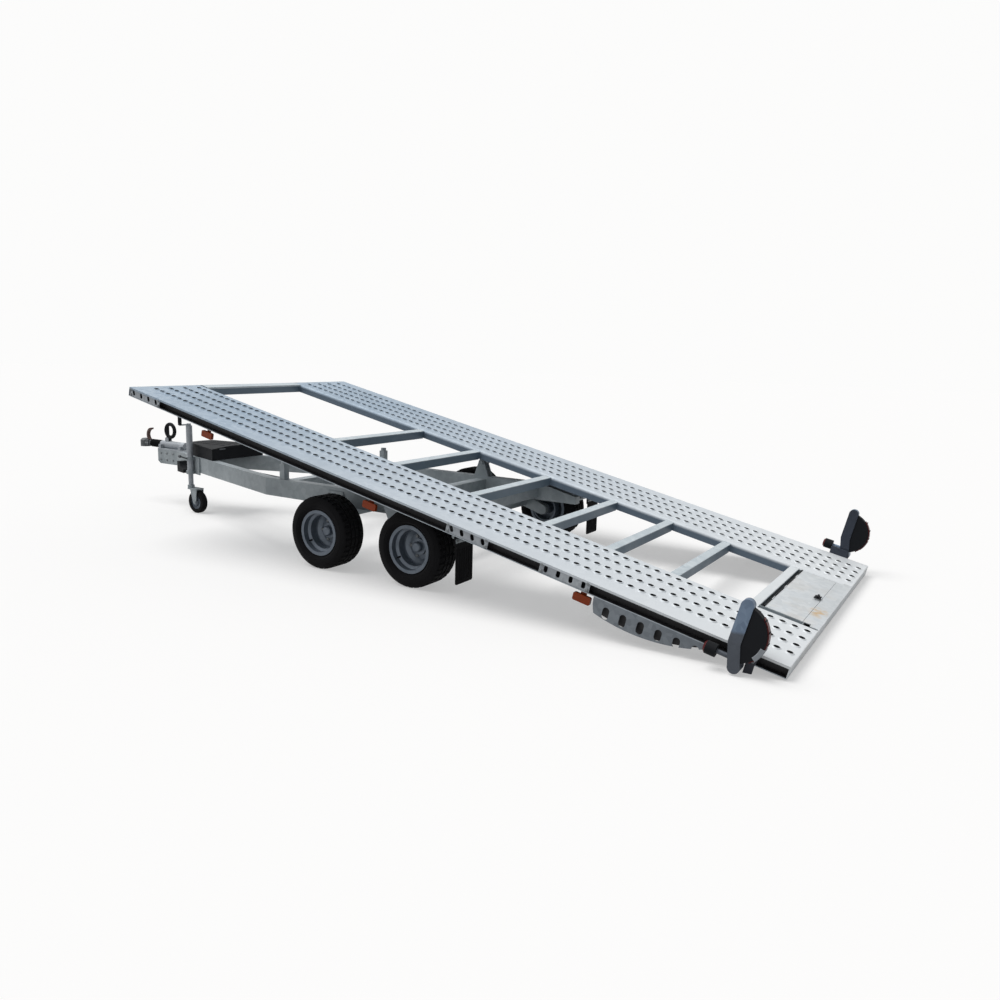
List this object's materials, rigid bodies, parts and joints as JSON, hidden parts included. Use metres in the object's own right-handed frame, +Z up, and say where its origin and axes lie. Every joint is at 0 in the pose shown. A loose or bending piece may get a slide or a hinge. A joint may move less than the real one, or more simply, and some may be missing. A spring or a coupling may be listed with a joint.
{
  "type": "tilting car transport trailer",
  "caption": "Twin-axle galvanised car transport trailer with perforated wheel runners on a tilting platform, V drawbar, jockey wheel and ball coupling.",
  "frame": {"origin": "middle of the trailer's box on the ground", "axes": "+X forward to the coupling, +Y to the trailer's left, +Z up"},
  "size_m": [5.7658, 2.2598, 1.053],
  "materials": {
    "galvanised_sheet": "hot-dip galvanised sheet with pale zinc mottling",
    "galvanised_tube": "weathered galvanised steel tube",
    "lashing_plate": "pale grey zinc plate",
    "rim_steel": "silver-grey painted steel",
    "tyre": "black road tyre",
    "black_rubber": "black rubber",
    "black_plastic": "black moulded plastic",
    "amber_lens": "amber lens plastic",
    "red_lens": "red lens plastic",
    "coupling_steel": "dark cast steel",
    "handle_brown": "dark brown grip"
  },
  "bodies": {
    "chassis": {"left_beam": "galvanised_tube", "right_beam": "galvanised_tube", "left_arm": "galvanised_tube", "right_arm": "galvanised_tube", "chassis_crossbeams": "galvanised_tube", "pivot_posts": "galvanised_tube", "rest_posts": "galvanised_tube", "front_axle": "galvanised_tube", "rear_axle": "galvanised_tube", "flap_stays": "galvanised_tube", "mudflaps": "black_rubber", "nose": "galvanised_tube", "overrun_housing": "galvanised_sheet", "gaiter": "black_rubber", "coupling_head": "coupling_steel", "coupling_handle": "handle_brown", "handbrake": "black_plastic", "chock": "black_plastic", "storage_box": "black_plastic", "jockey_clamp": "galvanised_tube", "jockey_tube": "galvanised_sheet"},
    "deck": {"left_runner": "galvanised_sheet", "right_runner": "galvanised_sheet", "left_rail": "galvanised_tube", "right_rail": "galvanised_tube", "stringers": "galvanised_tube", "outriggers": "galvanised_tube", "crossmembers": "galvanised_sheet", "front_beam": "galvanised_sheet", "rear_sill": "galvanised_sheet", "hatch_tray": "galvanised_tube", "rear_skirts": "galvanised_sheet", "lashing_plates": "lashing_plate", "side_markers": "amber_lens", "rear_feet": "black_rubber", "pivot_lugs": "galvanised_tube", "lamp_brackets": "galvanised_sheet", "lamp_housings": "black_plastic", "lamp_lenses": "red_lens"},
    "hatch": {"hatch_lid": "galvanised_sheet"},
    "box_lid": {"box_lid": "black_plastic"},
    "jockey_stem": {"jockey_inner": "galvanised_sheet"},
    "jockey_fork": {"jockey_fork": "galvanised_tube"},
    "jockey_wheel": {"jockey_wheel": "black_rubber"},
    "front_left_wheel": {"front_left_tyre": "tyre", "front_left_rim": "rim_steel"},
    "front_right_wheel": {"front_right_tyre": "tyre", "front_right_rim": "rim_steel"},
    "rear_left_wheel": {"rear_left_tyre": "tyre", "rear_left_rim": "rim_steel"},
    "rear_right_wheel": {"rear_right_tyre": "tyre", "rear_right_rim": "rim_steel"}
  },
  "joints": [
    {"name": "deck_tilt", "type": "hinge", "parent": "chassis", "child": "deck", "pos_m": [-0.31337, 0, 0.5435], "axis": [0, 1, 0], "range_deg": [0, 12.5]},
    {"name": "hatch_hinge", "type": "hinge", "parent": "deck", "child": "hatch", "pos_m": [-2.61055, 0, 0.12641], "axis": [0, 1, 0], "range_deg": [0, 100]},
    {"name": "box_lid_hinge", "type": "hinge", "parent": "chassis", "child": "box_lid", "pos_m": [1.67294, 0, 0.5293], "axis": [0, -1, 0], "range_deg": [0, 75]},
    {"name": "jockey_lift", "type": "slide", "parent": "chassis", "child": "jockey_stem", "axis": [0, 0, 1], "range_m": [0, 0.08]},
    {"name": "jockey_swivel", "type": "hinge", "parent": "jockey_stem", "child": "jockey_fork", "pos_m": [2.00194, 0.20452, 0.188], "axis": [0, 0, 1], "continuous": true},
    {"name": "jockey_spin", "type": "hinge", "parent": "jockey_fork", "child": "jockey_wheel", "pos_m": [1.92594, 0.20452, 0.09], "axis": [0, 1, 0], "continuous": true},
    {"name": "front_left_spin", "type": "hinge", "parent": "chassis", "child": "front_left_wheel", "pos_m": [-0.04537, 0.817, 0.225], "axis": [0, 1, 0], "continuous": true},
    {"name": "front_right_spin", "type": "hinge", "parent": "chassis", "child": "front_right_wheel", "pos_m": [-0.04537, -0.817, 0.225], "axis": [0, 1, 0], "continuous": true},
    {"name": "rear_left_spin", "type": "hinge", "parent": "chassis", "child": "rear_left_wheel", "pos_m": [-0.73637, 0.817, 0.225], "axis": [0, 1, 0], "continuous": true},
    {"name": "rear_right_spin", "type": "hinge", "parent": "chassis", "child": "rear_right_wheel", "pos_m": [-0.73637, -0.817, 0.225], "axis": [0, 1, 0], "continuous": true}
  ]
}
